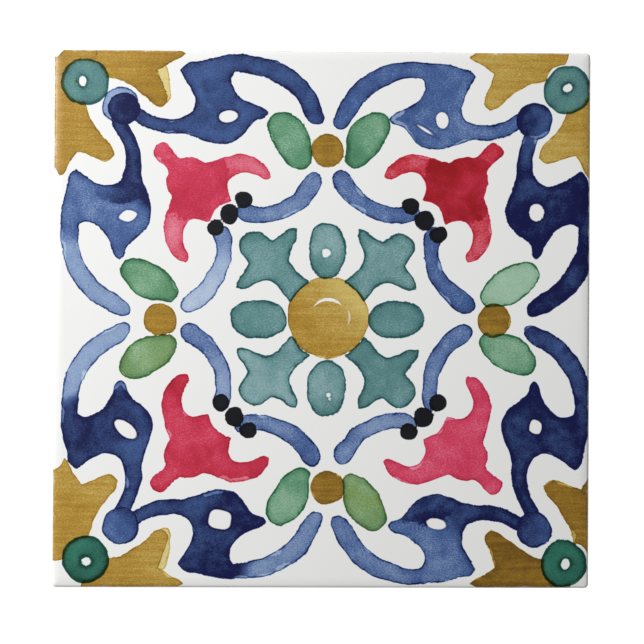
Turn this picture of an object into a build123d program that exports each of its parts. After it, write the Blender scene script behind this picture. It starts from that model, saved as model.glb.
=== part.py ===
"""A square glazed earthenware wall tile with a cushion edge, pressed and fired as one piece.

The tile lies on its back, face up. The origin is the centre of the bedding plane, which holds
the faces of the back's ribs, and +Z points out of the glazed face. Sizes are in millimetres.
"""

from build123d import *
import math
import os

# Overall size
face_side = 152.0
thickness = 6.4
corner_radius = 1.2

# Cushion edge: the face rolls off gently, then turns tightly down into the side
cushion_width = 2.8
cushion_roll_radius = 10.0
edge_radius = 1.0

# Glaze on the sides: down to the glaze line it stands proud of the bare body
glaze_reach = 4.0
glaze_lip = 0.2
glaze_bead_height = 0.5

# Bare body below the glaze line, which leans in towards the back to leave the die
side_draft = 2.0
back_arris = 0.3

# Back keys: shallow pockets between crossing ribs, spread out to fill a plain margin
key_margin = 7.0
key_rib_least = 3.0
key_pocket = 9.5
key_depth = 0.8
key_wall_angle = 30.0

# Worked out from the sizes above
half_side = face_side / 2
corner_centre = half_side - corner_radius
glaze_line = thickness - glaze_reach


def cushion_height(inset):
    """The height of the face at a distance in from the outline, where the cushion rolls off."""
    run = cushion_width - inset
    return thickness - cushion_roll_radius + math.sqrt(cushion_roll_radius**2 - run**2)


def edge_turn():
    """Where the tight edge round leaves the side and where it runs into the cushion's roll."""
    roll_centre = (half_side - cushion_width, thickness - cushion_roll_radius)
    reach = cushion_roll_radius - edge_radius
    across = cushion_width - edge_radius
    rise = math.sqrt(reach**2 - across**2)
    turn_centre = (half_side - edge_radius, roll_centre[1] + rise)
    share = cushion_roll_radius / reach
    on_side = (half_side, turn_centre[1])
    on_roll = (
        roll_centre[0] + (turn_centre[0] - roll_centre[0]) * share,
        roll_centre[1] + (turn_centre[1] - roll_centre[1]) * share,
    )
    return on_side, on_roll


def border_profile():
    """The tile's section from the outline in to the corners' centres, in the XZ plane."""
    on_side, on_roll = edge_turn()
    bare_top = half_side - glaze_lip
    bare_foot = bare_top - (glaze_line - back_arris) * math.tan(math.radians(side_draft))
    bead_radius = (glaze_lip**2 + glaze_bead_height**2) / (2 * glaze_lip)
    bead_top = (half_side, glaze_line + glaze_bead_height)
    bead_foot = (bare_top, glaze_line)
    inner_top = (corner_centre, cushion_height(corner_radius))
    arris_side = (bare_foot, back_arris)
    arris_foot = (bare_foot - back_arris, 0)
    outline = [
        RadiusArc(bead_foot, bead_top, bead_radius),
        Line(bead_top, on_side),
        TangentArc(on_side, on_roll, tangent=(0, 1)),
        RadiusArc(on_roll, inner_top, -cushion_roll_radius),
        Line(inner_top, (corner_centre, 0)),
        Line((corner_centre, 0), arris_foot),
        RadiusArc(arris_foot, arris_side, -back_arris),
        Line(arris_side, bead_foot),
    ]
    return Plane.XZ * make_face(outline)


def border():
    """The border profile run along the four sides and turned round the four corners."""
    profile = border_profile()
    side = extrude(profile, corner_centre, both=True)
    corner_axis = Axis((corner_centre, 0, 0), (0, 0, 1))
    corner = Pos(0, corner_centre, 0) * revolve(profile, corner_axis, 90)
    return [Rot(0, 0, quarter * 90) * piece for quarter in range(4) for piece in (side, corner)]


def face_section():
    """The middle's section across the tile: a flat face that starts to roll off at both ends."""
    flat = half_side - cushion_width
    end_height = cushion_height(corner_radius)
    right = TangentArc((flat, thickness), (corner_centre, end_height), tangent=(1, 0))
    left = mirror(right, Plane.YZ)
    foot = Polyline(
        (corner_centre, end_height), (corner_centre, 0), (-corner_centre, 0), (-corner_centre, end_height)
    )
    return Plane.XZ * make_face([Line((-flat, thickness), (flat, thickness)), right, foot, left])


def middle():
    """The tile inside its border: the overlap of the face section run both ways."""
    along_y = extrude(face_section(), corner_centre, both=True)
    along_x = Rot(0, 0, 90) * along_y
    return along_x & along_y


def key_pockets():
    """The pockets pressed into the back, with walls that flare towards their mouths."""
    room = face_side - 2 * key_margin
    count = int((room + key_rib_least) // (key_pocket + key_rib_least))
    pitch = (room - key_pocket) / (count - 1)
    pocket = extrude(Rectangle(key_pocket, key_pocket), key_depth, taper=key_wall_angle)
    return [place * pocket for place in GridLocations(pitch, pitch, count, count)]


def tile():
    """The whole tile as one fired piece."""
    body = middle() + border()
    return body - key_pockets()


os.makedirs("parts", exist_ok=True)
export_step(tile(), "parts/tile.step")
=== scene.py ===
import math
import random
from collections import namedtuple

import bmesh
import bpy
from bpy.props import FloatProperty, FloatVectorProperty, IntProperty, PointerProperty
from bpy.types import Operator, Panel, PropertyGroup
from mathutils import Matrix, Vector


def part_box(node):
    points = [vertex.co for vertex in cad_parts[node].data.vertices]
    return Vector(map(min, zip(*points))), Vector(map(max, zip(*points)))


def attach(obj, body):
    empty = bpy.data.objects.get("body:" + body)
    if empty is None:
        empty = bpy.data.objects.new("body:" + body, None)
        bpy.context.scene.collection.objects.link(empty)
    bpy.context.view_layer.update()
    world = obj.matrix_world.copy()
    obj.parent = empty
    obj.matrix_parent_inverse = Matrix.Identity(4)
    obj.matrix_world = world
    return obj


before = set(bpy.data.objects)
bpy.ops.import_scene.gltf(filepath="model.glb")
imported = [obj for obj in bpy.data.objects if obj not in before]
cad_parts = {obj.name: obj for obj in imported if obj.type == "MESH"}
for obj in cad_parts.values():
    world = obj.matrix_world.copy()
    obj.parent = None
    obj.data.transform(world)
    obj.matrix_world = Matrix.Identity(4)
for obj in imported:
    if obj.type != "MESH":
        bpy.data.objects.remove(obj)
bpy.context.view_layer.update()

bl_info = {
    "name": "Painted majolica tile",
    "version": (1, 0, 0),
    "blender": (4, 5, 0),
    "location": "3D View > Sidebar > Tile",
    "description": "Glaze, painted ornament and bare body of a cushion-edged wall tile",
    "category": "Object",
}

MM = 0.001
_, TILE_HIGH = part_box("tile")


# Sizes and colours that a user would change


def length(name, description, millimetres):
    """A length property, stored in metres."""
    return FloatProperty(
        name=name,
        description=description,
        default=millimetres * MM,
        subtype="DISTANCE",
        unit="LENGTH",
        precision=5,
    )


def number(name, description, default, subtype="NONE"):
    """A property for a plain number or an angle."""
    return FloatProperty(name=name, description=description, default=default, subtype=subtype)


def position(name, description, metres):
    """A property for a place, in metres."""
    return FloatVectorProperty(
        name=name,
        description=description,
        default=metres,
        size=len(metres),
        subtype="TRANSLATION",
        unit="LENGTH",
        precision=6,
    )


def paint_colour(name, description, code):
    """A colour property from a six-digit hex code, stored as scene-linear light."""
    channels = [int(code[start : start + 2], 16) / 255 for start in (0, 2, 4)]
    linear = [c / 12.92 if c <= 0.04045 else ((c + 0.055) / 1.055) ** 2.4 for c in channels]
    return FloatVectorProperty(
        name=name, description=description, default=linear, size=3, min=0, max=1, subtype="COLOR"
    )


class CoatSizes(PropertyGroup):
    """The glaze coat over the face and the upper sides."""

    corner_radius: length("Corner radius", "Radius of the tile's corners seen from above", 1.2)
    cushion_width: length("Cushion width", "How far in from the side the face starts to roll off", 2.8)
    cushion_roll_radius: length("Cushion roll radius", "Radius of the face's gentle roll-off", 10.0)
    edge_radius: length("Edge radius", "Radius of the tight turn from the face into the side", 1.0)
    glaze_reach: length("Glaze reach", "How far down from the face the glaze covers the side", 4.0)
    glaze_lip: length("Glaze lip", "How far the glaze stands proud of the bare side", 0.2)
    bead_height: length("Bead height", "Height of the rounded bead that ends the glaze", 0.5)
    lift: length("Lift", "How far the coat stands off the fired body", 0.03)
    wall: length("Wall", "How deep the coat's hidden foot goes into the body", 0.5)
    rim_wander: length("Rim wander", "How far the lower rim runs down unevenly", 0.45)
    ripple_height: length("Ripple height", "Height of the glaze's slow waves", 0.02)
    ripple_size: length("Ripple size", "Width of the glaze's slow waves", 11.0)
    face_cells: IntProperty(
        name="Face cells",
        description="Cells along the flat face; an even number",
        default=264,
        min=8,
        max=264,
    )


class OrnamentSizes(PropertyGroup):
    """How the painter's hand laid the ornament out."""

    shift: position(
        "Shift", "How far the ornament's centre lies off the tile's centre", (1.45 * MM, 0.1 * MM)
    )
    wander: length("Wander", "How far an outline strays from its drawn shape", 0.9)
    wander_size: length("Wander size", "Length over which an outline strays", 9.0)
    turn_spread: number("Turn spread", "Largest turn of a motif off its place", 0.006, "ANGLE")
    size_spread: number("Size spread", "Largest share by which a motif is over or under size", 0.012)
    seed: IntProperty(name="Seed", description="Another number gives another painter's hand", default=7)


# Each pigment's description, and its colours in a thin wash, in a full wash and where it has pooled
PIGMENTS = {
    "cobalt": ("Cobalt blue", "A7BEE0", "4A69A4", "070D4A"),
    "teal": ("Copper blue-green", "ACCBD0", "629394", "265658"),
    "leaf": ("Leaf green", "B4D6BD", "639E79", "276343"),
    "olive": ("Yellow green", "D8DF9C", "A3B34E", "66782A"),
    "viridian": ("Deep green", "92C0B4", "388570", "0C4335"),
    "ochre": ("Yellow ochre", "E6D280", "BA9032", "775516"),
    "rose": ("Cool rose red", "F5A6BE", "EC4C74", "B01840"),
    "crimson": ("Warm crimson", "EE8F9C", "D0283C", "9E101C"),
    "black": ("Manganese black", "6C6E7C", "20222C", "0C0D14"),
}
STRENGTHS = {"thin": "in a thin wash", "full": "in a full wash", "deep": "where it has pooled"}


class PaintColours(PropertyGroup):
    """The white glaze, its greyer edge of thin glaze and painted shade, the bare body, and each pigment in a
    thin, a full and a deep wash.
    """

    white: paint_colour("White glaze", "The tin glaze where nothing is painted", "F0F0EF")
    # Partly thin glaze, partly painted shade: a greyer white that darkens the tile's outermost edge
    white_thin_and_painted_shade: paint_colour("White glaze, thin", "The tin glaze where it is thin on the edge", "C2C1BE")
    biscuit: paint_colour("Biscuit", "The bare fired body", "DCC9A9")
    biscuit_dark: paint_colour("Biscuit, dark", "The bare body where it has picked up dirt", "B39A74")


def add_pigments(group):
    """Gives a property group every pigment's three colours."""
    for pigment, (description, *codes) in PIGMENTS.items():
        for (strength, state), code in zip(STRENGTHS.items(), codes):
            label = f"{pigment.capitalize()}, {strength}"
            colour = paint_colour(label, f"{description} {state}", code)
            group.__annotations__[f"{pigment}_{strength}"] = colour


add_pigments(PaintColours)


class StudioSettings(PropertyGroup):
    """The camera, lights and floor."""

    lens: number("Lens", "Focal length in millimetres", 135.0)
    camera_place: position(
        "Camera place", "Where the camera stands, looking straight down", (-0.017526, -0.000133, 0.689726)
    )
    camera_turn: FloatVectorProperty(
        name="Camera turn",
        description="The camera's small turns off straight down",
        default=(math.radians(-0.0565), math.radians(-1.4688), math.radians(0.2591)),
        subtype="EULER",
    )
    key_place: position("Key place", "Where the main light stands, up to the left", (-0.50, 0.29, 0.58))
    key_width: length("Key width", "Side of the main light's square", 240.0)
    key_power: number("Key power", "Power of the main light in watts", 7.65)
    sky: number("Sky", "Strength of the even light from all round", 0.12)
    floor_glow: number("Floor glow", "Strength of the white that the floor shows", 1.0)
    floor_bounce: number("Floor bounce", "Strength of the light that the floor throws up", 0.7)


# The ornament's outlines, in millimetres from the ornament's centre. A motif is drawn once, upright above
# the centre or up to the right of it, and its places turn and mirror it. A point marked SHARP is a corner.

SHARP = True


def ring(centre, across, along, power=2.0, count=12):
    """Points round a closed oval; a power over 2 squares its shoulders."""
    points = []
    for step in range(count):
        angle = math.tau * step / count
        cosine = math.cos(angle)
        sine = math.sin(angle)
        reach = (abs(cosine) ** power + abs(sine) ** power) ** (-1 / power)
        points.append((centre[0] + across * reach * cosine, centre[1] + along * reach * sine))
    return points


def both_sides(half):
    """A half outline and its mirror image across the diagonal, where its first and last points lie."""
    mirrored = [(point[1], point[0], *point[2:]) for point in half[-2:0:-1]]
    return half + mirrored


BOSS_CENTRE = (0.2, 0.45)
BOSS_RADIUS = 11.6
boss = [ring(BOSS_CENTRE, BOSS_RADIUS, BOSS_RADIUS)]

petal = [ring((0.0, 19.5), 5.3, 7.9, power=2.3)]

lobed_leaf = [
    both_sides([
        (7.9, 7.9), (4.8, 10.4, SHARP), (7.2, 12.5), (9.4, 14.4), (10.6, 16.9), (9.8, 20.0), (8.5, 23.0),
        (8.6, 25.5, SHARP), (10.7, 25.2), (13.0, 23.6), (15.5, 22.2, SHARP), (17.5, 23.6), (19.5, 24.8),
        (21.8, 24.6), (23.5, 23.5),
    ])
]

bud = [ring((0.0, 47.8), 4.8, 4.8)]

leaf = [[
    (4.6, 44.0, SHARP), (6.8, 42.3), (9.6, 42.8), (12.6, 45.0), (15.2, 48.6), (16.9, 52.6), (17.2, 55.8),
    (15.6, 58.1), (13.0, 58.6), (10.0, 57.2), (7.2, 54.8), (5.4, 51.6), (4.9, 47.6),
]]

garland = [[
    (2.0, 40.5), (3.3, 41.6), (5.0, 41.4), (6.3, 40.3), (8.0, 38.0), (10.0, 35.4), (12.5, 33.6),
    (15.5, 32.2), (20.0, 31.4), (24.4, 32.1), (26.0, 30.0), (25.0, 27.9), (19.0, 27.1), (13.0, 28.2),
    (8.0, 30.7), (4.0, 34.5), (1.6, 38.5),
]]

# Three berries in a row across the diagonal
berries = [
    ring((along, 57.2 - along), radius, radius, count=8)
    for along, radius in ((28.6, 2.7), (24.6, 2.35), (32.6, 2.4))
]

tulip = [
    both_sides([
        (48.5, 48.5, SHARP), (46.3, 49.3), (44.5, 47.8), (43.0, 46.0), (41.0, 44.9), (39.5, 45.3),
        (36.5, 44.8), (34.2, 43.7, SHARP), (32.0, 44.4), (28.5, 45.5), (25.0, 46.2), (21.5, 45.6),
        (18.5, 43.9), (16.5, 41.8), (15.9, 39.4, SHARP), (17.5, 38.9), (19.5, 39.8), (22.0, 40.8),
        (24.4, 40.9), (26.5, 39.9), (27.6, 38.3), (27.8, 36.6), (27.4, 35.0), (26.8, 33.2, SHARP),
        (28.6, 32.6), (30.5, 31.8), (31.2, 31.2),
    ])
]

tulip_heart = [ring((37.6, 37.6), 10.2, 10.2, power=2.6)]

scroll = [[
    (1.6, 55.6), (2.3, 60.0), (5.2, 65.3), (10.0, 70.0), (16.0, 73.1), (23.0, 74.4), (31.0, 74.0),
    (37.5, 72.6), (40.6, 71.9), (42.3, 70.2, SHARP), (40.6, 67.6), (38.9, 64.8), (38.0, 61.5),
    (38.8, 58.5), (40.8, 57.0), (45.0, 56.3), (50.0, 57.2), (54.0, 59.4), (57.0, 60.5, SHARP),
    (58.2, 57.6, SHARP), (54.5, 55.2), (50.0, 53.0), (45.0, 52.0), (41.0, 52.0), (37.5, 51.0),
    (34.0, 49.6), (30.5, 49.0), (27.0, 49.8), (24.3, 52.0), (22.6, 54.3), (20.8, 56.0), (18.3, 56.7),
    (17.2, 57.9, SHARP), (18.4, 59.3), (21.2, 60.3), (24.5, 62.2), (26.8, 64.8), (27.6, 67.5),
    (26.8, 69.6, SHARP), (23.0, 69.7), (18.0, 68.2), (12.5, 65.0), (9.0, 61.5), (6.9, 58.0),
    (5.0, 55.6), (3.2, 55.0),
]]

head_shade = [ring((28.5, 53.6), 10.0, 5.4)]

neck_shade = [ring((35.6, 57.5), 3.4, 9.0)]

knob = [ring((58.9, 58.9), 5.2, 5.1)]

knob_core = [ring((58.1, 58.2), 4.6, 4.6)]

wing = [[
    (68.6, 80.0, SHARP), (44.0, 80.0, SHARP), (42.2, 76.0), (39.9, 74.7, SHARP), (41.6, 73.4), (44.6, 71.9),
    (47.4, 70.1, SHARP), (46.4, 67.4), (45.2, 64.4), (44.6, 61.6), (46.2, 59.5, SHARP), (48.8, 60.4),
    (51.2, 62.6), (54.4, 65.0), (58.0, 67.0), (62.4, 68.2, SHARP), (63.4, 70.8), (65.4, 72.4),
    (68.0, 72.8, SHARP), (68.9, 76.0),
]]

wing_fringe = [[
    (47.6, 71.6), (46.0, 70.6), (44.9, 67.4), (44.5, 63.4), (44.9, 60.6), (46.2, 59.6), (47.8, 60.2),
    (48.4, 65.0),
]]

corner_patch = [
    both_sides([(71.0, 71.0), (66.0, 71.8, SHARP), (65.0, 80.0, SHARP), (72.0, 80.0, SHARP), (75.0, 75.0)])
]

roundel = [ring((67.6, 67.2), 6.8, 6.7), ring((67.5, 67.8), 1.5, 1.2, count=7)]

# Where a place's name puts a motif: quarter turns to the left, and whether it is mirrored first
TURNS = {
    "N": (0, 1), "W": (1, 1), "S": (2, 1), "E": (3, 1),
    "NE": (0, 1), "NW": (1, 1), "SW": (2, 1), "SE": (3, 1),
    "NNE": (0, 1), "WNW": (1, 1), "SSW": (2, 1), "ESE": (3, 1),
    "NNW": (0, -1), "WSW": (1, -1), "SSE": (2, -1), "ENE": (3, -1),
}

# A motif's places give the load of pigment at its start, middle and end, and how far its hue leans. Its
# changes are the two shares of the way from start to end where the load changes, and how softly it does.
Motif = namedtuple("Motif", "name pigment outline start end places changes", defaults=[(0.36, 0.74, 0.15)])

MOTIFS = [
    Motif("boss", "ochre", boss, (-8, -8), (9, 9), {"N": (0.62, 0.52, 0.34, 0)}),
    Motif("petal", "teal", petal, (0, 12), (0, 27), {
        "N": (0.60, 0.48, 0.55, 0), "W": (0.60, 0.66, 0.62, 0),
        "S": (0.52, 0.50, 0.62, 0), "E": (0.66, 0.66, 0.72, 0),
    }),
    Motif("lobed_leaf", "teal", lobed_leaf, (9, 9), (23, 23), {
        "NE": (0.60, 0.58, 0.62, 0), "NW": (0.61, 0.61, 0.64, 0),
        "SW": (0.54, 0.46, 0.50, 0), "SE": (0.66, 0.68, 0.60, 0),
    }),
    Motif("bud", "ochre", bud, (-4, 47), (4, 47), {
        "N": (0.80, 0.88, 0.78, 0), "W": (0.74, 0.76, 0.70, 0),
        "S": (0.84, 0.90, 0.82, 0), "E": (0.86, 0.92, 0.84, 0),
    }),
    Motif("leaf", "leaf", leaf, (5, 44), (15, 58), {
        "NNE": (0.80, 0.67, 0.60, 0), "NNW": (0.74, 0.62, 0.56, 0), "ENE": (0.36, 0.29, 0.34, 0),
        "ESE": (0.58, 0.51, 0.56, 0), "SSE": (0.62, 0.60, 0.72, 0.35), "SSW": (0.66, 0.47, 0.52, 0),
        "WSW": (0.66, 0.56, 0.70, 0.30), "WNW": (0.70, 0.57, 0.76, 0.05),
    }),
    Motif("garland", "cobalt", garland, (3, 40), (26, 30), {
        "NNE": (0.58, 0.50, 0.56, 0), "NNW": (0.48, 0.48, 0.54, 0), "ENE": (0.74, 0.62, 0.62, 0),
        "ESE": (0.56, 0.50, 0.54, 0), "SSE": (0.50, 0.42, 0.44, 0), "SSW": (0.62, 0.52, 0.50, 0),
        "WSW": (0.56, 0.42, 0.36, 0), "WNW": (0.18, 0.20, 0.48, 0),
    }),
    Motif("berries", "black", berries, (24, 24), (32, 32), {
        "NE": (1, 1, 1, 0), "NW": (1, 1, 1, 0), "SW": (1, 1, 1, 0), "SE": (1, 1, 1, 0),
    }),
    Motif("tulip", "rose", tulip, (49, 49), (28, 28), {
        "NE": (0.68, 0.60, 0.54, 1.0), "NW": (0.58, 0.48, 0.46, 0.45),
        "SW": (0.64, 0.70, 0.72, 0.6), "SE": (0.66, 0.62, 0.66, 0.2),
    }),
    Motif("tulip_heart", "rose", tulip_heart, (46, 46), (30, 30), {
        "NE": (0.84, 0.93, 0.90, 0), "NW": (0.64, 0.68, 0.65, 0),
    }),
    Motif("scroll", "cobalt", scroll, (10, 75), (58, 52), {
        "NNW": (0.84, 0.86, 0.82, 0), "NNE": (0.70, 0.64, 0.57, 0), "ENE": (1.12, 1.12, 1.02, 0),
        "ESE": (0.90, 1.10, 1.02, 0), "SSE": (0.50, 0.60, 1.00, 0), "SSW": (0.46, 1.06, 0.90, 0),
        "WSW": (0.32, 1.02, 0.88, 0), "WNW": (0.38, 0.60, 1.00, 0),
    }, (0.24, 0.57, 0.04)),
    Motif("knob", "cobalt", knob, (55, 55), (62, 62), {
        "NE": (1.02, 0.98, 0.84, 0), "NW": (0.36, 0.36, 0.32, 0),
        "SW": (0.90, 0.68, 0.62, 0), "SE": (0.96, 0.86, 0.80, 0),
    }),
    Motif("knob_core", "cobalt", knob_core, (55, 55), (62, 62), {"NW": (1.05, 1.08, 1.00, 0)}),
    Motif("wing", "ochre", wing, (45, 61), (70, 76), {
        "NNE": (0.50, 0.56, 0.62, 0), "ENE": (0.48, 0.58, 0.66, 0), "ESE": (0.88, 0.86, 0.80, 0),
        "SSE": (1.02, 1.00, 0.94, 0), "SSW": (0.54, 0.62, 0.64, 0), "WSW": (0.54, 0.62, 0.64, 0),
        "WNW": (0.66, 0.64, 0.66, 0), "NNW": (0.74, 0.66, 0.64, 0),
    }),
    Motif("corner_patch", "ochre", corner_patch, (71, 71), (75, 75), {"NW": (0.66, 0.66, 0.66, 0)}),
    Motif("roundel", "viridian", roundel, (62, 62), (73, 73), {
        "NE": (0.76, 0.70, 0.76, 0.9), "NW": (0.74, 0.70, 0.74, 1),
        "SW": (0.86, 0.80, 0.88, 0.05), "SE": (0.84, 0.76, 0.86, 0),
    }),
    Motif("head_shade", "cobalt", head_shade, (20, 54), (38, 54), {"SSE": (0.80, 0.94, 0.90, 0)}),
    Motif("neck_shade", "cobalt", neck_shade, (36, 49), (36, 67), {"WNW": (0.96, 0.92, 0.70, 0)}),
    Motif("wing_fringe", "ochre", wing_fringe, (45, 61), (70, 76), {
        "NNW": (0.2, 0.2, 0.2, 0), "SSW": (0.2, 0.2, 0.2, 0),
    }),
]

# Copies that the painter set visibly off their places, in millimetres right and up
NUDGES = {
    ("knob", "NW"): (0.8, 0.6),
    ("knob_core", "NW"): (0.5, 0.9),
    ("knob", "NE"): (-0.4, -2.2),
    ("knob", "SE"): (0.7, -0.8),
    ("roundel", "NW"): (-2.6, -0.6),
    ("roundel", "NE"): (0.0, -1.8),
    ("roundel", "SW"): (-0.7, -1.7),
    ("roundel", "SE"): (1.0, -2.1),
    ("berries", "NW"): (0.8, 1.3),
    ("berries", "NE"): (-1.1, -0.6),
    ("berries", "SW"): (2.6, 1.2),
    ("berries", "SE"): (-1.2, 1.1),
    ("scroll", "NNE"): (0.0, -0.6),
    ("scroll", "ENE"): (1.1, 0.0),
    ("scroll", "ESE"): (1.2, 0.0),
    ("scroll", "WNW"): (-0.2, -0.6),
    ("scroll", "SSW"): (0.6, 0.6),
    ("leaf", "ENE"): (1.5, -0.9),
    ("leaf", "ESE"): (1.3, 1.1),
    ("leaf", "SSE"): (0.0, -1.6),
    ("wing", "ESE"): (2.0, -0.5),
}


# Short calls for building node trees


def new_tree(name, kind, inputs, outputs):
    """A node tree, its input sockets and its output sockets, with their labels listed by kind of socket."""
    tree = bpy.data.node_groups.new(name, kind)
    for way, kinds in (("INPUT", inputs), ("OUTPUT", outputs)):
        for socket, labels in kinds.items():
            for label in labels:
                tree.interface.new_socket(label, in_out=way, socket_type=f"NodeSocket{socket}")
    return tree, tree.nodes.new("NodeGroupInput").outputs, tree.nodes.new("NodeGroupOutput").inputs


def feed(tree, socket, value):
    """Links another node's output to a socket, or sets the socket's own value."""
    if isinstance(value, bpy.types.NodeSocket):
        tree.links.new(value, socket)
    else:
        socket.default_value = value


def feed_all(tree, sockets, values):
    """Feeds several sockets, given by label or number."""
    for key, value in values.items():
        feed(tree, sockets[key], value)


def put(tree, kind, inputs, **options):
    """Adds a node with its options, and feeds its inputs."""
    node = tree.nodes.new(kind)
    for option, value in options.items():
        setattr(node, option, value)
    feed_all(tree, node.inputs, inputs)
    return node


def maths(tree, operation, *values, clamp=False):
    """One step of arithmetic on numbers."""
    inputs = dict(enumerate(values))
    return put(tree, "ShaderNodeMath", inputs, operation=operation, use_clamp=clamp).outputs[0]


def times(tree, number, *factors):
    """Numbers multiplied together."""
    for factor in factors:
        number = maths(tree, "MULTIPLY", number, factor)
    return number


def plus(tree, number, *terms):
    """Numbers added up."""
    for term in terms:
        number = maths(tree, "ADD", number, term)
    return number


def minus(tree, number, taken):
    """One number less another."""
    return maths(tree, "SUBTRACT", number, taken)


def vectors(tree, operation, *values):
    """One step of arithmetic on vectors. A dot product and a length come out as a number."""
    node = put(tree, "ShaderNodeVectorMath", dict(enumerate(values)), operation=operation)
    return node.outputs["Value" if operation in {"DOT_PRODUCT", "LENGTH", "DISTANCE"} else "Vector"]


def scaled(tree, vector, factor):
    """A vector times a number."""
    inputs = {"Vector": vector, "Scale": factor}
    return put(tree, "ShaderNodeVectorMath", inputs, operation="SCALE").outputs["Vector"]


def combine(tree, x=0.0, y=0.0, z=0.0):
    """A vector from three numbers."""
    return put(tree, "ShaderNodeCombineXYZ", {"X": x, "Y": y, "Z": z}).outputs[0]


def split(tree, vector):
    """A vector's three numbers."""
    return put(tree, "ShaderNodeSeparateXYZ", {"Vector": vector}).outputs


def rise(tree, value, low, high, start=0.0, end=1.0):
    """A smooth step from start to end as the value goes from low to high."""
    inputs = {"Value": value, "From Min": low, "From Max": high, "To Min": start, "To Max": end}
    return put(tree, "ShaderNodeMapRange", inputs, interpolation_type="SMOOTHSTEP").outputs[0]


def between(tree, factor, first, second):
    """A number part of the way from the first to the second."""
    return put(tree, "ShaderNodeMix", {0: factor, 2: first, 3: second}, data_type="FLOAT").outputs[0]


def mixed(tree, factor, first, second, method="MIX"):
    """Two colours mixed."""
    inputs = {0: factor, 6: first, 7: second}
    return put(tree, "ShaderNodeMix", inputs, data_type="RGBA", blend_type=method).outputs[2]


def noise(tree, vector, scale, detail=2.0, roughness=0.5, distortion=0.0):
    """Soft random grey, centred on nought."""
    inputs = {
        "Vector": vector, "Scale": scale, "Detail": detail, "Roughness": roughness, "Distortion": distortion,
    }
    return minus(tree, put(tree, "ShaderNodeTexNoise", inputs).outputs[0], 0.5)


def use_group(tree, group, inputs):
    """Places a shader node group with its own values, and returns its outputs."""
    node = tree.nodes.new("ShaderNodeGroup")
    node.node_tree = group
    feed_all(tree, node.inputs, inputs)
    return node.outputs


def solid(colour):
    """A colour property as the four numbers that a colour socket holds."""
    return (*colour, 1.0)


def new_material(name):
    """A material with an empty node tree, and that tree's Principled shader."""
    material = bpy.data.materials.new(name)
    material.use_nodes = True
    tree = material.node_tree
    tree.nodes.clear()
    shader = tree.nodes.new("ShaderNodeBsdfPrincipled")
    output = tree.nodes.new("ShaderNodeOutputMaterial")
    tree.links.new(shader.outputs[0], output.inputs["Surface"])
    return material, tree, shader


def place_in_mm(tree):
    """The point on the tile in millimetres."""
    return scaled(tree, tree.nodes.new("ShaderNodeTexCoord").outputs["Object"], 1 / MM)


def named(tree, name, kind="FLOAT"):
    """A stored attribute's value."""
    return put(tree, "GeometryNodeInputNamedAttribute", {"Name": name}, data_type=kind).outputs["Attribute"]


def shape_of(tree, piece):
    """Another object's geometry."""
    return put(tree, "GeometryNodeObjectInfo", {"Object": piece}).outputs["Geometry"]


def stored(tree, geometry, name, value, kind="FLOAT_VECTOR", domain="POINT"):
    """The geometry with a value stored on it as an attribute."""
    inputs = {"Geometry": geometry, "Name": name, "Value": value}
    return put(tree, "GeometryNodeStoreNamedAttribute", inputs, data_type=kind, domain=domain).outputs[0]


def end_tree(tree, geometry, given, result):
    """Ends a geometry tree: makes what it holds real, and gives it the material that was asked for."""
    real = put(tree, "GeometryNodeRealizeInstances", {"Geometry": geometry}).outputs[0]
    dressed = put(tree, "GeometryNodeSetMaterial", {"Geometry": real, "Material": given["Material"]})
    feed(tree, result["Geometry"], dressed.outputs[0])


# The glaze coat's shape

# The coat's map fills a square from nought to twice this, and leaves a corner free for the hidden inside
MAP_HALF = 0.49
MAP_CORNER = 0.992
MAP_CORNER_HALF = 0.005


def arc(centre, radius, start, end, steps):
    """Points on an arc after its start, as (reach, height); an angle is measured from straight up."""
    angles = [start + (end - start) * step / steps for step in range(1, steps + 1)]
    return [(centre[0] + radius * math.sin(a), centre[1] + radius * math.cos(a)) for a in angles]


def coat_section(sizes):
    """The coat's section from the rim of the flat grid out, down the side, under the bead and up inside.

    Reach is measured outwards from the corners' centres.
    """
    thickness = TILE_HIGH[2]
    side = sizes.corner_radius
    roll_centre = (side - sizes.cushion_width, thickness - sizes.cushion_roll_radius)
    across = sizes.cushion_width - sizes.edge_radius
    span = sizes.cushion_roll_radius - sizes.edge_radius
    lean = math.asin(across / span)
    first_lean = math.asin((sizes.cushion_width - side) / sizes.cushion_roll_radius)
    turn_centre = (side - sizes.edge_radius, roll_centre[1] + math.sqrt(span**2 - across**2))
    glaze_line = thickness - sizes.glaze_reach
    bead_top = glaze_line + sizes.bead_height
    foot = side - sizes.glaze_lip
    points = [(0.0, roll_centre[1] + (sizes.cushion_roll_radius + sizes.lift) * math.cos(first_lean))]
    roll_steps = 3
    turn_steps = 8
    side_steps = 6
    bead_steps = 5
    points += arc(roll_centre, sizes.cushion_roll_radius + sizes.lift, first_lean, lean, roll_steps)
    points += arc(turn_centre, sizes.edge_radius + sizes.lift, lean, math.pi / 2, turn_steps)
    side_drop = (bead_top - turn_centre[1]) / side_steps
    points += [(side + sizes.lift, turn_centre[1] + side_drop * step) for step in range(1, side_steps + 1)]
    for step in range(1, bead_steps + 1):
        angle = math.pi / 2 * step / bead_steps
        reach = foot + (sizes.glaze_lip + sizes.lift) * math.cos(angle)
        points.append((reach, bead_top - sizes.bead_height * math.sin(angle)))
    points.append((side - sizes.wall, glaze_line))
    points.append((side - sizes.wall, turn_centre[1] - sizes.edge_radius))
    return points


def section_points(sizes):
    """The section as a mesh of loose points, each holding reach, unfolded length and height."""
    section = coat_section(sizes)
    unfolded = 0.0
    vertices = []
    for number, (reach, height) in enumerate(section):
        if number:
            unfolded += math.dist(section[number - 1], (reach, height))
        vertices.append((reach, unfolded, height))
    mesh = bpy.data.meshes.new("coat_section")
    mesh.from_pydata(vertices, [], [])
    return mesh, unfolded


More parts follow.
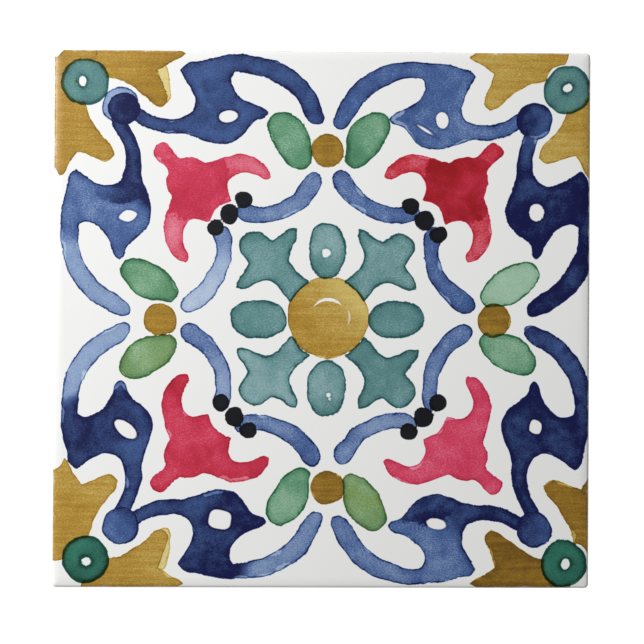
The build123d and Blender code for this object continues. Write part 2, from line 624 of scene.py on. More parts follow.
def coat_tree():
    """The coat as a square grid: its middle is the face, and each ring round it a step down the section."""
    tree, given, result = new_tree(
        "cushion_edged_coat",
        "GeometryNodeTree",
        {
            "Geometry": ["Geometry"],
            "Object": ["Section"],
            "Int": ["Rings", "Face Cells"],
            "Float": [
                "Half Side", "Thickness", "Corner Radius", "Cushion Width", "Roll Radius", "Lift",
                "Rim Wander", "Rim Top", "Rim Foot", "Ripple Height", "Ripple Size", "Unfolded Half",
            ],
            "Material": ["Material"],
        },
        {"Geometry": ["Geometry"]},
    )
    centre = minus(tree, given["Half Side"], given["Corner Radius"])
    cells = maths(tree, "MULTIPLY_ADD", given["Rings"], 2.0, given["Face Cells"])
    corners = plus(tree, cells, 1.0)
    grid = put(tree, "GeometryNodeMeshGrid", {
        "Size X": cells, "Size Y": cells, "Vertices X": corners, "Vertices Y": corners,
    }).outputs["Mesh"]

    # Each point's cell, ring and the straight way out from the face's rim
    cell = tree.nodes.new("GeometryNodeInputPosition").outputs[0]
    side_of = vectors(tree, "SIGN", cell)
    away = vectors(tree, "ABSOLUTE", cell)
    half_cells = times(tree, given["Face Cells"], 0.5)
    rim = combine(tree, half_cells, half_cells)
    beyond = vectors(tree, "MAXIMUM", vectors(tree, "SUBTRACT", away, rim), (0.0, 0.0, 0.0))
    outwards = vectors(tree, "NORMALIZE", beyond)
    beyond_x, beyond_y, _ = split(tree, beyond)
    ring_number = maths(tree, "MAXIMUM", beyond_x, beyond_y)
    cell_size = maths(tree, "DIVIDE", centre, half_cells)
    on_face = scaled(tree, vectors(tree, "MINIMUM", away, rim), cell_size)

    # The section's point for the ring
    sample = put(
        tree,
        "GeometryNodeSampleIndex",
        {
            "Geometry": shape_of(tree, given["Section"]),
            "Value": tree.nodes.new("GeometryNodeInputPosition").outputs[0],
            "Index": maths(tree, "ROUND", ring_number),
        },
        data_type="FLOAT_VECTOR",
        domain="POINT",
    ).outputs[0]
    reach, unfolded, section_height = split(tree, sample)

    def out_from_face(distance):
        """Each point's place in plan, with its ring a distance out from the face's rim."""
        moved = vectors(tree, "ADD", on_face, scaled(tree, outwards, distance))
        return vectors(tree, "MULTIPLY", moved, side_of)

    spread = out_from_face(reach)

    # The map that lays the sides out flat round the face
    unit = maths(tree, "DIVIDE", MAP_HALF, given["Unfolded Half"])
    on_map = vectors(tree, "ADD", scaled(tree, out_from_face(unfolded), unit), (MAP_HALF, MAP_HALF, 0.0))
    mapped = stored(tree, grid, "OFBake", on_map, "FLOAT2", "CORNER")

    # The face's height: flat, then rolling off towards the nearer side, with slow waves in the glaze
    face_x, face_y, _ = split(tree, on_face)
    inset = minus(tree, given["Half Side"], maths(tree, "MAXIMUM", face_x, face_y))
    run = maths(tree, "MAXIMUM", minus(tree, given["Cushion Width"], inset), 0.0)
    radius = given["Roll Radius"]
    chord = minus(tree, times(tree, radius, radius), times(tree, run, run))
    drop = minus(tree, radius, maths(tree, "SQRT", chord))
    waves = noise(tree, spread, maths(tree, "DIVIDE", 1.0, given["Ripple Size"]), detail=1.0)
    away_from_rim = rise(tree, inset, 3 * MM, 9 * MM)
    ripple = times(tree, waves, given["Ripple Height"], away_from_rim)
    top = plus(tree, given["Thickness"], given["Lift"])
    face_height = plus(tree, minus(tree, top, drop), ripple)

    # The lower rim, which has run down unevenly
    runs_per_metre = 90.0
    runs = plus(tree, noise(tree, spread, runs_per_metre, detail=3.0), 0.5)
    low = rise(tree, section_height, given["Rim Top"], given["Rim Foot"])
    rim_height = minus(tree, section_height, times(tree, runs, low, given["Rim Wander"]))
    on_rim = maths(tree, "GREATER_THAN", ring_number, 0.5)
    height = between(tree, on_rim, face_height, rim_height)
    shaped = put(tree, "GeometryNodeSetPosition", {
        "Geometry": mapped, "Position": vectors(tree, "ADD", spread, combine(tree, z=height)),
    }).outputs[0]
    smooth = put(tree, "GeometryNodeSetShadeSmooth", {"Geometry": shaped}).outputs[0]
    end_tree(tree, smooth, given, result)
    return tree


# The ornament, measured onto the coat


def outline_curve(motif):
    """The motif's outline as flat closed splines, with a sharp turn at each point marked so."""
    curve = bpy.data.curves.new(f"{motif.name}_outline", "CURVE")
    curve.dimensions = "3D"
    curve.resolution_u = 8
    for points in motif.outline:
        spline = curve.splines.new("BEZIER")
        spline.bezier_points.add(len(points) - 1)
        spline.use_cyclic_u = True
        for knot, point in zip(spline.bezier_points, points):
            handle = "VECTOR" if SHARP in point[2:] else "AUTO"
            knot.co = (point[0] * MM, point[1] * MM, 0.0)
            knot.handle_left_type = handle
            knot.handle_right_type = handle
    return curve


def place_points(motif, sizes, hand):
    """A point for each of the motif's places, with its turn, mirroring, size, pigment loads and hue."""
    mesh = bpy.data.meshes.new(f"{motif.name}_places")
    nudges = [NUDGES.get((motif.name, place), (0.0, 0.0)) for place in motif.places]
    points = [(sizes.shift[0] + right * MM, sizes.shift[1] + up * MM, 0.0) for right, up in nudges]
    mesh.from_pydata(points, [], [])
    turns = []
    scales = []
    loads = []
    hues = []
    for place, (start, middle, end, hue) in motif.places.items():
        quarters, side = TURNS[place]
        turns.append(quarters * math.pi / 2 + hand.uniform(-1, 1) * sizes.turn_spread)
        size = 1 + hand.uniform(-1, 1) * sizes.size_spread
        scales += [side * size, size, 1.0]
        loads += [start, middle, end]
        hues.append(hue)
    mesh.attributes.new("turn", "FLOAT", "POINT").data.foreach_set("value", turns)
    mesh.attributes.new("stretch", "FLOAT_VECTOR", "POINT").data.foreach_set("vector", scales)
    mesh.attributes.new("loads", "FLOAT_VECTOR", "POINT").data.foreach_set("vector", loads)
    mesh.attributes.new("hue", "FLOAT", "POINT").data.foreach_set("value", hues)
    return mesh


def motif_tree():
    """Lays a motif out at its places, and stores on the coat's points how they lie to the nearest copy.

    Each point gets its depth inside the outline in millimetres, the load of pigment there, and its hue.
    """
    tree, given, result = new_tree(
        "painted_motif",
        "GeometryNodeTree",
        {
            "Geometry": ["Geometry"],
            "Object": ["Outline", "Places"],
            "Vector": ["Start", "End", "Changes"],
            "Float": ["Wander", "Wander Size", "Seed"],
            "String": ["Name"],
            "Material": ["Material"],
        },
        {"Geometry": ["Geometry"]},
    )
    here = tree.nodes.new("GeometryNodeInputPosition").outputs[0]
    curve = shape_of(tree, given["Outline"])
    filled = put(tree, "GeometryNodeFillCurve", {"Curve": curve}).outputs[0]
    drawn = stored(tree, filled, "drawn_at", here)
    edge = put(tree, "GeometryNodeCurveToMesh", {"Curve": curve}).outputs[0]

    def copies(shape):
        """The shape at all the motif's places, made real."""
        instances = put(tree, "GeometryNodeInstanceOnPoints", {
            "Points": shape_of(tree, given["Places"]),
            "Instance": shape,
            "Rotation": combine(tree, z=named(tree, "turn")),
            "Scale": named(tree, "stretch", "FLOAT_VECTOR"),
        }).outputs[0]
        return put(tree, "GeometryNodeRealizeInstances", {"Geometry": instances}).outputs[0]

    paint = copies(drawn)
    outline = copies(edge)

    # The painter's hand strays: each point is measured a little off its own place
    flat_place = vectors(tree, "MULTIPLY", here, (1.0, 1.0, 0.0))
    stray = put(
        tree,
        "ShaderNodeTexNoise",
        {
            "Vector": flat_place, "W": given["Seed"], "Detail": 2.0, "Roughness": 0.45,
            "Scale": maths(tree, "DIVIDE", 1.0, given["Wander Size"]),
        },
        noise_dimensions="4D",
    ).outputs["Color"]
    centred = vectors(tree, "MULTIPLY", vectors(tree, "SUBTRACT", stray, (0.5, 0.5, 0.5)), (2.0, 2.0, 0.0))
    asked = vectors(tree, "ADD", flat_place, scaled(tree, centred, given["Wander"]))

    def away_from(shape, target):
        """The distance to the shape's faces or edges."""
        inputs = {"Geometry": shape, "Sample Position": asked}
        return put(tree, "GeometryNodeProximity", inputs, target_element=target).outputs["Distance"]

    def nearest(name, kind="FLOAT_VECTOR"):
        """An attribute of the nearest copy."""
        inputs = {"Mesh": paint, "Value": named(tree, name, kind), "Sample Position": asked}
        return put(tree, "GeometryNodeSampleNearestSurface", inputs, data_type=kind).outputs[0]

    touching = 0.002 * MM
    inside = maths(tree, "LESS_THAN", away_from(paint, "FACES"), touching)
    way_in = maths(tree, "MULTIPLY_ADD", inside, 2.0 / MM, -1.0 / MM)
    depth = times(tree, away_from(outline, "EDGES"), way_in)

    # How far along the stroke the point lies, and the load of pigment there
    stroke = vectors(tree, "SUBTRACT", given["End"], given["Start"])
    done = vectors(tree, "SUBTRACT", nearest("drawn_at"), given["Start"])
    done_along = vectors(tree, "DOT_PRODUCT", done, stroke)
    whole = vectors(tree, "DOT_PRODUCT", stroke, stroke)
    share = maths(tree, "DIVIDE", done_along, whole, clamp=True)
    *changes, softness = split(tree, given["Changes"])
    load, *later_loads = split(tree, nearest("loads"))
    for change, next_load in zip(changes, later_loads):
        past = rise(tree, share, minus(tree, change, softness), plus(tree, change, softness))
        load = between(tree, past, load, next_load)

    wash = combine(tree, depth, load, nearest("hue", "FLOAT"))
    end_tree(tree, stored(tree, given["Geometry"], given["Name"], wash), given, result)
    return tree


# The paint and the glaze


def brush_fields():
    """The unevenness that all the paint shares: ragged edges, paper-like grain, blooms and dry streaks."""
    tree, given, result = new_tree(
        "brush_fields",
        "ShaderNodeTree",
        {"Vector": ["Place"]},
        {"Float": ["Ragged", "Grain", "Mottle", "Bloom", "Streak", "Fringe"]},
    )
    place = given["Place"]
    coarse_edge = times(tree, noise(tree, place, 0.28, detail=1.0), 0.8)
    roughened = rise(tree, noise(tree, place, 0.12, detail=1.0), -0.12, 0.16, 0.22, 0.95)
    fine_edge = times(tree, noise(tree, place, 1.2, detail=3.0, roughness=0.65), roughened)
    squeezed = vectors(tree, "MULTIPLY", place, (0.7, 1.25, 1.0))
    drawn_out = vectors(tree, "MULTIPLY", place, (0.06, 1.0, 1.0))
    elsewhere = vectors(tree, "ADD", place, (31.0, 17.0, 0.0))
    feed_all(tree, result, {
        "Ragged": plus(tree, coarse_edge, fine_edge),
        "Grain": noise(tree, squeezed, 2.5, detail=3.0, roughness=0.8),
        "Mottle": noise(tree, place, 0.42, detail=3.0, roughness=0.6),
        "Bloom": noise(tree, place, 0.11, detail=2.0, distortion=0.6),
        "Streak": noise(tree, drawn_out, 0.9, detail=3.0, roughness=0.6),
        "Fringe": rise(tree, noise(tree, elsewhere, 0.10, detail=2.0, roughness=0.6), 0.06, 0.22),
    })
    return tree


def brush_wash():
    """One motif's paint: how much pigment lies at a point, from its depth inside the outline."""
    tree, given, result = new_tree(
        "brush_wash",
        "ShaderNodeTree",
        {
            "Vector": ["Motif"],
            "Float": [
                "Ragged", "Grain", "Mottle", "Bloom", "Fringe", "Softness", "Rim", "Pool", "Pool Width",
                "Fringe Width", "Grain Strength", "Bloom Strength",
            ],
        },
        {"Float": ["Density", "Hue"]},
    )
    drawn_depth, load, hue = split(tree, given["Motif"])
    depth = plus(tree, drawn_depth, given["Ragged"])
    softness = given["Softness"]
    just_outside = times(tree, softness, -1.0)
    cover = rise(tree, depth, just_outside, softness)

    # The wash itself, with its blooms and grain
    bloom = times(tree, given["Bloom"], given["Bloom Strength"])
    mottle = times(tree, given["Mottle"], given["Bloom Strength"], 0.55)
    calm = rise(tree, load, 0.5, 1.1, 1.0, 0.45)
    grain = times(tree, given["Grain"], given["Grain Strength"], calm)
    body = times(tree, load, plus(tree, bloom, mottle, grain, 1.0))

    # The full wash stops short of the first thin one along some edges, and lies thicker near all of them
    past_gap = minus(tree, depth, times(tree, given["Fringe"], given["Fringe Width"]))
    full = rise(tree, past_gap, just_outside, softness, 0.5, 1.0)
    near_edge = maths(tree, "MULTIPLY_ADD", rise(tree, depth, 0.1, 2.0, 1.0, -0.35), given["Rim"], 1.0)
    washed = times(tree, body, full, near_edge)

    # Pigment pools in a thin dark line as the wash dries, more in some places than in others
    reach = times(tree, given["Pool Width"], maths(tree, "MULTIPLY_ADD", given["Mottle"], 1.8, 1.0))
    line = rise(tree, depth, 0.0, reach, 1.0, 0.0)
    uneven_line = maths(tree, "MULTIPLY_ADD", given["Mottle"], 2.4, 0.9, clamp=True)
    pool = times(tree, line, uneven_line, given["Pool"])
    density = times(tree, plus(tree, washed, pool), cover)
    varied = maths(tree, "MULTIPLY_ADD", given["Bloom"], 2.0, 1.0)
    feed_all(tree, result, {
        "Density": maths(tree, "MAXIMUM", density, 0.0),
        "Hue": maths(tree, "MULTIPLY", hue, varied, clamp=True),
    })
    return tree


def pigment_layer():
    """The colour that a density of pigment lets through, from its thin, full and deep colours."""
    tree, given, result = new_tree(
        "pigment_layer",
        "ShaderNodeTree",
        {"Float": ["Density"], "Color": ["Thin", "Full", "Deep"]},
        {"Color": ["Colour"]},
    )
    steps = {"Thin": (0.0, 0.22), "Full": (0.22, 0.6), "Deep": (0.6, 1.1)}
    colour = (1.0, 1.0, 1.0, 1.0)
    for stronger, (low, high) in steps.items():
        inputs = {"Value": given["Density"], "From Min": low, "From Max": high}
        share = put(tree, "ShaderNodeMapRange", inputs).outputs[0]
        colour = mixed(tree, share, colour, given[stronger])
    feed(tree, result["Colour"], colour)
    return tree


# Crescents left white on the boss: radius, middle angle, half angle, half width and strength
SHINES = [(5.1, 92, 52, 0.42, 1.0), (6.1, 0, 22, 0.30, 0.5)]


def boss_shine(tree, place, ragged):
    """How white the crescents leave the boss."""
    out = vectors(tree, "MULTIPLY", vectors(tree, "SUBTRACT", place, (*BOSS_CENTRE, 0.0)), (1.0, 1.0, 0.0))
    x, y, _ = split(tree, out)
    around = maths(tree, "ARCTAN2", y, x)
    away = maths(tree, "MULTIPLY_ADD", ragged, 0.7, vectors(tree, "LENGTH", out))
    shine = 0.0
    for radius, angle, half_angle, half_width, strength in SHINES:
        off_arc = maths(tree, "ABSOLUTE", minus(tree, away, radius))
        share = maths(tree, "DIVIDE", minus(tree, around, math.radians(angle)), math.radians(half_angle))
        taper = minus(tree, 1.0, times(tree, share, share))
        inside = minus(tree, times(tree, taper, half_width), off_arc)
        shine = maths(tree, "MAXIMUM", shine, rise(tree, inside, -0.12, 0.12, 0.0, strength))
    return shine


# A spot that the brush left white: its centre and half sizes in millimetres from the ornament's centre, its
# turn in degrees, a power over 2 where its shoulders are square, and how ragged its edge is
Spot = namedtuple("Spot", "centre half_sizes turn power ragged", defaults=[0, 2.0, 0.5])

BARE_SPOTS = [
    Spot((-0.4, 18.6), (1.0, 1.3), ragged=2.2),
    Spot((0.4, -21.4), (0.8, 1.0), ragged=2.2),
    Spot((-28.2, 57.2), (2.6, 1.6), turn=8),
    Spot((-56.4, 28.9), (2.6, 1.6), turn=12, power=1.5),
    Spot((32.4, 56.5), (1.7, 2.3), turn=10),
    Spot((27.4, 53.8), (2.3, 0.35), turn=-32, ragged=0.2),
    Spot((59.3, 30.6), (2.0, 2.5), turn=-20, ragged=1.5),
    Spot((59.3, -30.3), (1.9, 2.1), turn=25, power=1.6, ragged=0.8),
    Spot((31.2, -57.9), (2.8, 1.5), turn=-12),
    Spot((-30.1, -56.8), (3.1, 2.6), turn=-10, power=3.2, ragged=0.4),
    Spot((-56.9, -31.3), (3.6, 1.8), turn=-36),
]


def bare_spots(tree, place, ragged):
    """Where the spots lie, and where pigment has pooled round them."""
    spots = 0.0
    rims = 0.0
    for spot in BARE_SPOTS:
        off = vectors(tree, "SUBTRACT", place, (*spot.centre, 0.0))
        cosine = math.cos(math.radians(spot.turn))
        sine = math.sin(math.radians(spot.turn))
        powers = 0.0
        for half_size, (right, up) in zip(spot.half_sizes, ((cosine, sine), (-sine, cosine))):
            share = vectors(tree, "DOT_PRODUCT", off, (right / half_size, up / half_size, 0.0))
            powers = plus(tree, powers, maths(tree, "POWER", maths(tree, "ABSOLUTE", share), spot.power))
        radius = min(spot.half_sizes)
        outside = maths(tree, "MULTIPLY_ADD", maths(tree, "POWER", powers, 1 / spot.power), radius, -radius)
        away = maths(tree, "MULTIPLY_ADD", ragged, spot.ragged, outside)
        spots = maths(tree, "MAXIMUM", spots, rise(tree, away, -0.14, 0.14, 1.0, 0.0))
        rims = maths(tree, "MAXIMUM", rims, rise(tree, away, 0.1, 0.8, 1.0, 0.0))
    return spots, rims


# How each pigment is laid, in millimetres and in shares of its load: how soft its edge is, how much thicker
# it lies near the edge, the dark line where it pools, and how far the full wash may stop short
PAINT_HABITS = {
    "ochre": {"Softness": 0.14, "Rim": 0.05, "Pool": 0.40, "Pool Width": 0.5, "Fringe Width": 1.2},
    "teal": {"Softness": 0.14, "Rim": 0.26, "Pool": 1.15, "Pool Width": 0.65, "Fringe Width": 0.8},
    "leaf": {"Softness": 0.14, "Rim": 0.28, "Pool": 1.15, "Pool Width": 0.65, "Fringe Width": 0.8},
    "cobalt": {"Softness": 0.14, "Rim": 0.12, "Pool": 0.75, "Pool Width": 0.55, "Fringe Width": 1.2},
    "rose": {"Softness": 0.14, "Rim": 0.12, "Pool": 0.42, "Pool Width": 0.5, "Fringe Width": 1.2},
    "viridian": {"Softness": 0.14, "Rim": 0.20, "Pool": 0.45, "Pool Width": 1.0, "Fringe Width": 0.5},
    "black": {"Softness": 0.13, "Rim": 0.0, "Pool": 0.0, "Pool Width": 0.5, "Fringe Width": 0.3},
}

# How strongly blooms and grain show in every wash
BLOOM_STRENGTH = 0.75
GRAIN_STRENGTH = 2.0

# Motifs that stop just under another, and those painted only inside another's outline, with a soft edge
UNDER = {
    "petal": "boss", "lobed_leaf": "boss", "leaf": "bud", "garland": "berries", "scroll": "knob",
    "wing": "roundel", "corner_patch": "roundel",
}
INSIDE = {"tulip_heart": "tulip", "head_shade": "scroll", "neck_shade": "scroll"}
INSIDE_SHARPNESS = 0.2

# Pigments whose hue varies, and the one that they lean to
NEIGHBOURS = {"leaf": "olive", "rose": "crimson", "viridian": "teal"}


def pigment_colours(tree, colours, pigment, hue):
    """The pigment's three colours, turned towards its neighbour by the hue where it has one."""
    sockets = {}
    for strength in ("thin", "full", "deep"):
        colour = solid(getattr(colours, f"{pigment}_{strength}"))
        if pigment in NEIGHBOURS:
            neighbour = solid(getattr(colours, f"{NEIGHBOURS[pigment]}_{strength}"))
            colour = mixed(tree, hue, colour, neighbour)
        sockets[strength.capitalize()] = colour
    return sockets


def motif_paint(tree, motif, marks, fields, wash):
    """How densely one motif's pigment lies, and its hue."""
    mark = marks[motif.name]
    inputs = {name: fields[name] for name in ("Ragged", "Grain", "Mottle", "Bloom", "Fringe")}
    inputs |= {"Grain Strength": GRAIN_STRENGTH, "Bloom Strength": BLOOM_STRENGTH}
    inputs |= PAINT_HABITS[motif.pigment]
    if motif.name in INSIDE:
        own_depth, load, hue = split(tree, mark)
        limit, _, _ = split(tree, marks[INSIDE[motif.name]])
        soft_depth = times(tree, own_depth, INSIDE_SHARPNESS)
        mark = combine(tree, maths(tree, "MINIMUM", soft_depth, limit), load, hue)
        inputs |= {"Pool": 0.0, "Fringe Width": 0.0}
    if motif.pigment == "ochre":
        inputs["Bloom"] = fields["Streak"]
    painted = use_group(tree, wash, inputs | {"Motif": mark})
    density = painted["Density"]
    if motif.name in UNDER:
        covered, _, _ = split(tree, marks[UNDER[motif.name]])
        density = times(tree, density, rise(tree, covered, 0.2, 1.2, 1.0, 0.0))
    return density, painted["Hue"]


def painted_glaze(colours, sizes):
    """White tin glaze with the painted ornament melted into it, and an unpainted upper side greyed partly by
    thin glaze and partly by painted shade.
    """
    material, tree, shader = new_material("painted_glaze")
    place = place_in_mm(tree)
    fields = use_group(tree, brush_fields(), {"Place": place})
    wash = brush_wash()
    layer = pigment_layer()
    marks = {}
    for motif in MOTIFS:
        mark = put(tree, "ShaderNodeAttribute", {}, attribute_name=f"wash_{motif.name}")
        marks[motif.name] = mark.outputs["Vector"]
    densities = {}
    hues = {}
    for motif in MOTIFS:
        density, hue = motif_paint(tree, motif, marks, fields, wash)
        so_far = densities.get(motif.pigment, 0.0)
        densities[motif.pigment] = maths(tree, "MAXIMUM", so_far, density)
        hues.setdefault(motif.pigment, hue)

    # Each pigment filters the white of the glaze, but for the spots left bare
    ornament_centre = (sizes.shift[0] / MM, sizes.shift[1] / MM, 0.0)
    from_centre = vectors(tree, "SUBTRACT", place, ornament_centre)
    spots, rims = bare_spots(tree, from_centre, fields["Ragged"])
    thickened = maths(tree, "MULTIPLY_ADD", rims, 0.3, 1.0)
    left_white = maths(tree, "MAXIMUM", boss_shine(tree, from_centre, fields["Ragged"]), spots)
    white = solid(colours.white)
    colour = white
    for pigment, density in densities.items():
        inputs = {"Density": times(tree, density, thickened)}
        inputs |= pigment_colours(tree, colours, pigment, hues[pigment])
        colour = mixed(tree, 1.0, colour, use_group(tree, layer, inputs)["Colour"], "MULTIPLY")

    # The paint stops where the face turns down into the side, and the glaze is greyer there: partly thin
    # glaze, partly painted shade that darkens the tile's outline
    lowest_paint = 5.65
    full_paint = 6.15
    thinnest_glaze_deepest_shade = 5.8
    full_glaze_no_shade = 6.1
    _, _, height = split(tree, place)
    ragged_height = maths(tree, "MULTIPLY_ADD", fields["Ragged"], 0.7, height)
    on_face = rise(tree, ragged_height, lowest_paint, full_paint)
    painted_share = times(tree, on_face, minus(tree, 1.0, left_white))
    # How far the edge is greyed: painted shade as well as thin glaze, darkest at the outermost turn
    thin = rise(tree, height, full_glaze_no_shade, thinnest_glaze_deepest_shade)
    ground = mixed(tree, thin, white, solid(colours.white_thin_and_painted_shade))

    # A glossy surface with faint waves in it
    waves = times(tree, noise(tree, place, 0.35, detail=2.0), 0.6)
    relief = put(tree, "ShaderNodeBump", {
        "Height": maths(tree, "MULTIPLY_ADD", fields["Grain"], 0.04, waves),
        "Strength": 0.06,
        "Distance": 0.1 * MM,
    })
    feed_all(tree, shader.inputs, {
        "Base Color": mixed(tree, painted_share, ground, colour),
        "Normal": relief.outputs[0],
        "Roughness": maths(tree, "MULTIPLY_ADD", fields["Mottle"], 0.12, 0.33),
        "IOR": 1.5,
    })
    return material


def bare_biscuit(colours):
    """The fired body where no glaze covers it: a dry, sandy buff with iron specks and splashes of glaze."""
    material, tree, shader = new_material("bare_biscuit")
    place = place_in_mm(tree)
    sand = noise(tree, place, 2.6, detail=4.0, roughness=0.7)
    cloud = noise(tree, place, 0.06, detail=3.0)
    dust = rise(tree, maths(tree, "MULTIPLY_ADD", cloud, 0.9, sand), -0.35, 0.35)
    body = mixed(tree, dust, solid(colours.biscuit_dark), solid(colours.biscuit))
    specks = put(tree, "ShaderNodeTexVoronoi", {"Vector": place, "Scale": 0.55, "Randomness": 1.0})
    speck = times(tree, rise(tree, specks.outputs["Distance"], 0.10, 0.04), 0.7)
    iron_brown = (0.10, 0.055, 0.03, 1.0)
    specked = mixed(tree, speck, body, iron_brown)
    splash_foot = 1.7
    splash_top = 2.3
    _, _, height = split(tree, place)
    uneven_height = maths(tree, "MULTIPLY_ADD", cloud, 2.5, height)
    splash = times(tree, rise(tree, uneven_height, splash_foot, splash_top), 0.7)
    relief = put(tree, "ShaderNodeBump", {"Height": sand, "Strength": 0.5, "Distance": 0.12 * MM})
    feed_all(tree, shader.inputs, {
        "Base Color": mixed(tree, splash, specked, solid(colours.white)),
        "Normal": relief.outputs[0],
        "Roughness": maths(tree, "MULTIPLY_ADD", sand, 0.2, 0.86),
    })
    return material


# Making the pieces


def add_object(name, data):
    """A new object at the origin."""
    piece = bpy.data.objects.new(name, data)
    bpy.context.scene.collection.objects.link(piece)
    return piece


def add_modifier(piece, tree, values):
    """Adds a node tree to a piece as a modifier, and sets its inputs by their identifiers."""
    modifier = piece.modifiers.new(tree.name, "NODES")
    modifier.node_group = tree
    sockets = {item.name: item.identifier for item in tree.interface.items_tree if item.in_out == "INPUT"}
    for label, value in values.items():
        modifier[sockets[label]] = value


def make_plain(piece, material, helpers):
    """Swaps the piece's mesh for what its modifiers make of it, and removes them and their helpers."""
    depsgraph = bpy.context.evaluated_depsgraph_get()
    plain = bpy.data.meshes.new_from_object(
        piece.evaluated_get(depsgraph), preserve_all_data_layers=True, depsgraph=depsgraph
    )
    plain.materials.clear()
    plain.materials.append(material)
    plain.polygons.foreach_set("material_index", [0] * len(plain.polygons))
    piece.modifiers.clear()
    piece.data = plain
    for helper in helpers:
        bpy.data.objects.remove(helper)


def close_inside(piece):
    """Closes the coat's hidden inside with one flat face, mapped into a free corner of the map."""
    shell = bmesh.new()
    shell.from_mesh(piece.data)
    rim = [edge for edge in shell.edges if edge.is_boundary]
    cap = bmesh.ops.edgeloop_fill(shell, edges=rim)["faces"][0]
    sheet_map = shell.loops.layers.uv["OFBake"]
    for loop in cap.loops:
        from_centre = [loop.vert.co[axis] / TILE_HIGH[0] for axis in (0, 1)]
        loop[sheet_map].uv = [MAP_CORNER + share * MAP_CORNER_HALF for share in from_centre]
    bmesh.ops.recalc_face_normals(shell, faces=shell.faces)
    shell.to_mesh(piece.data)
    shell.free()


class TILE_OT_biscuit(Operator):
    """Gives the tile's fired body its dry, sandy finish."""

    bl_idname = "tile.biscuit"
    bl_label = "Bare body"

    def execute(self, context):
        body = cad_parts["tile"]
        material = bare_biscuit(context.scene.tile_colours)
        for slot in body.material_slots:
            slot.material = material
        return {"FINISHED"}


class TILE_OT_glaze_coat(Operator):
    """Makes the glaze coat over the face and the upper sides."""

    bl_idname = "tile.glaze_coat"
    bl_label = "Glaze coat"

    def execute(self, context):
        sizes = context.scene.tile_coat
        section, unfolded = section_points(sizes)
        section_piece = add_object("coat_section", section)
        coat = add_object("glaze_coat", bpy.data.meshes.new("glaze_coat"))
        glaze = painted_glaze(context.scene.tile_colours, context.scene.tile_ornament)
        glaze_line = TILE_HIGH[2] - sizes.glaze_reach
        rim_height = 1.3 * MM
        add_modifier(coat, coat_tree(), {
            "Section": section_piece,
            "Rings": len(section.vertices) - 1,
            "Face Cells": sizes.face_cells,
            "Half Side": TILE_HIGH[0],
            "Thickness": TILE_HIGH[2],
            "Corner Radius": sizes.corner_radius,
            "Cushion Width": sizes.cushion_width,
            "Roll Radius": sizes.cushion_roll_radius,
            "Lift": sizes.lift,
            "Rim Wander": sizes.rim_wander,
            "Rim Top": glaze_line + rim_height,
            "Rim Foot": glaze_line + sizes.bead_height,
            "Ripple Height": sizes.ripple_height,
            "Ripple Size": sizes.ripple_size,
            "Unfolded Half": TILE_HIGH[0] - sizes.corner_radius + unfolded,
            "Material": glaze,
        })
        make_plain(coat, glaze, [section_piece])
        close_inside(coat)
        return {"FINISHED"}


class TILE_OT_ornament(Operator):
    """Paints the ornament on the glaze coat and hands the coat to the frame."""

    bl_idname = "tile.ornament"
    bl_label = "Painted ornament"

    def execute(self, context):
        coat = bpy.data.objects["glaze_coat"]
        glaze = coat.data.materials[0]
        sizes = context.scene.tile_ornament
        hand = random.Random(sizes.seed)
        tree = motif_tree()
        helpers = []
        for number, motif in enumerate(MOTIFS):
            outline = add_object(f"{motif.name}_outline", outline_curve(motif))
            places = add_object(f"{motif.name}_places", place_points(motif, sizes, hand))
            helpers += [outline, places]
            add_modifier(coat, tree, {
                "Outline": outline,
                "Places": places,
                "Start": [part * MM for part in motif.start] + [0.0],
                "End": [part * MM for part in motif.end] + [0.0],
                "Changes": motif.changes,
                "Wander": sizes.wander,
                "Wander Size": sizes.wander_size,
                "Seed": float(sizes.seed + number),
                "Name": f"wash_{motif.name}",
                "Material": glaze,
            })
        make_plain(coat, glaze, helpers)
        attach(coat, "root")
        return {"FINISHED"}


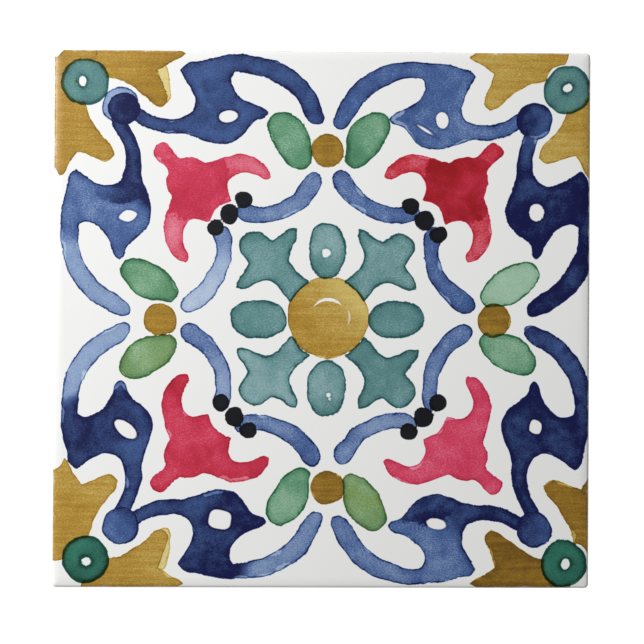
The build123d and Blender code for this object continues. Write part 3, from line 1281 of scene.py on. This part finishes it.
class TILE_OT_stage(Operator):
    """Sets the white floor, the soft light from the upper left and the camera above the tile."""

    bl_idname = "tile.stage"
    bl_label = "Stage"

    def execute(self, context):
        studio = context.scene.tile_studio
        self.floor(studio)
        self.key_light(studio)
        self.sky(context.scene, studio)
        self.camera(context.scene, studio)
        context.scene.view_settings.view_transform = "Standard"
        return {"FINISHED"}

    def floor(self, studio):
        """A wide white floor that is seen through from beneath."""
        half = 1.6
        height = -0.1 * MM
        mesh = bpy.data.meshes.new("floor")
        corners = [(-half, -half, height), (half, -half, height), (half, half, height), (-half, half, height)]
        mesh.from_pydata(corners, [], [(0, 1, 2, 3)])
        material, tree, shader = new_material("white_floor")
        shown = tree.nodes.new("ShaderNodeLightPath").outputs["Is Camera Ray"]
        feed_all(tree, shader.inputs, {
            "Base Color": (0.5, 0.5, 0.5, 1.0),
            "Roughness": 0.9,
            "Emission Color": (1.0, 1.0, 1.0, 1.0),
            "Emission Strength": between(tree, shown, studio.floor_bounce, studio.floor_glow),
        })
        behind = tree.nodes.new("ShaderNodeNewGeometry").outputs["Backfacing"]
        clear = tree.nodes.new("ShaderNodeBsdfTransparent").outputs[0]
        seen = put(tree, "ShaderNodeMixShader", {0: behind, 1: shader.outputs[0], 2: clear}).outputs[0]
        output = next(node for node in tree.nodes if node.type == "OUTPUT_MATERIAL")
        tree.links.new(seen, output.inputs["Surface"])
        mesh.materials.append(material)
        add_object("floor", mesh)

    def key_light(self, studio):
        """One square soft light, aimed at the tile."""
        lamp = bpy.data.lights.new("key", "AREA")
        lamp.size = studio.key_width
        lamp.energy = studio.key_power
        key = add_object("key", lamp)
        key.location = studio.key_place
        key.rotation_euler = key.location.to_track_quat("Z", "Y").to_euler()

    def sky(self, scene, studio):
        """Even light from all round, with white shown behind the floor's far edge."""
        world = bpy.data.worlds.new("sky")
        world.use_nodes = True
        tree = world.node_tree
        shown = tree.nodes.new("ShaderNodeLightPath").outputs["Is Camera Ray"]
        background = next(node for node in tree.nodes if node.type == "BACKGROUND")
        feed_all(tree, background.inputs, {
            "Color": (1.0, 1.0, 1.0, 1.0),
            "Strength": between(tree, shown, studio.sky, 1.0),
        })
        scene.world = world

    def camera(self, scene, studio):
        """A long lens above the tile."""
        lens = bpy.data.cameras.new("camera")
        lens.lens = studio.lens
        camera = add_object("camera", lens)
        camera.location = studio.camera_place
        camera.rotation_euler = studio.camera_turn
        scene.camera = camera


OPERATORS = (TILE_OT_biscuit, TILE_OT_glaze_coat, TILE_OT_ornament, TILE_OT_stage)
SETTINGS = {
    "tile_coat": CoatSizes,
    "tile_ornament": OrnamentSizes,
    "tile_colours": PaintColours,
    "tile_studio": StudioSettings,
}


class TILE_PT_panel(Panel):
    """Lists what makes the tile, and its sizes and colours."""

    bl_idname = "TILE_PT_panel"
    bl_label = "Majolica tile"
    bl_space_type = "VIEW_3D"
    bl_region_type = "UI"
    bl_category = "Tile"

    def draw(self, context):
        for operator in OPERATORS:
            self.layout.operator(operator.bl_idname)
        for group_name, group in SETTINGS.items():
            box = self.layout.box()
            for setting in group.__annotations__:
                box.prop(getattr(context.scene, group_name), setting)


def register():
    for group_name, group in SETTINGS.items():
        bpy.utils.register_class(group)
        setattr(bpy.types.Scene, group_name, PointerProperty(type=group))
    for part in (*OPERATORS, TILE_PT_panel):
        bpy.utils.register_class(part)


def unregister():
    for part in (TILE_PT_panel, *reversed(OPERATORS)):
        bpy.utils.unregister_class(part)
    for group_name, group in reversed(SETTINGS.items()):
        delattr(bpy.types.Scene, group_name)
        bpy.utils.unregister_class(group)


def main():
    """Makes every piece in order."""
    register()
    bpy.ops.tile.biscuit()
    bpy.ops.tile.glaze_coat()
    bpy.ops.tile.ornament()
    bpy.ops.tile.stage()


if __name__ == "__main__":
    main()
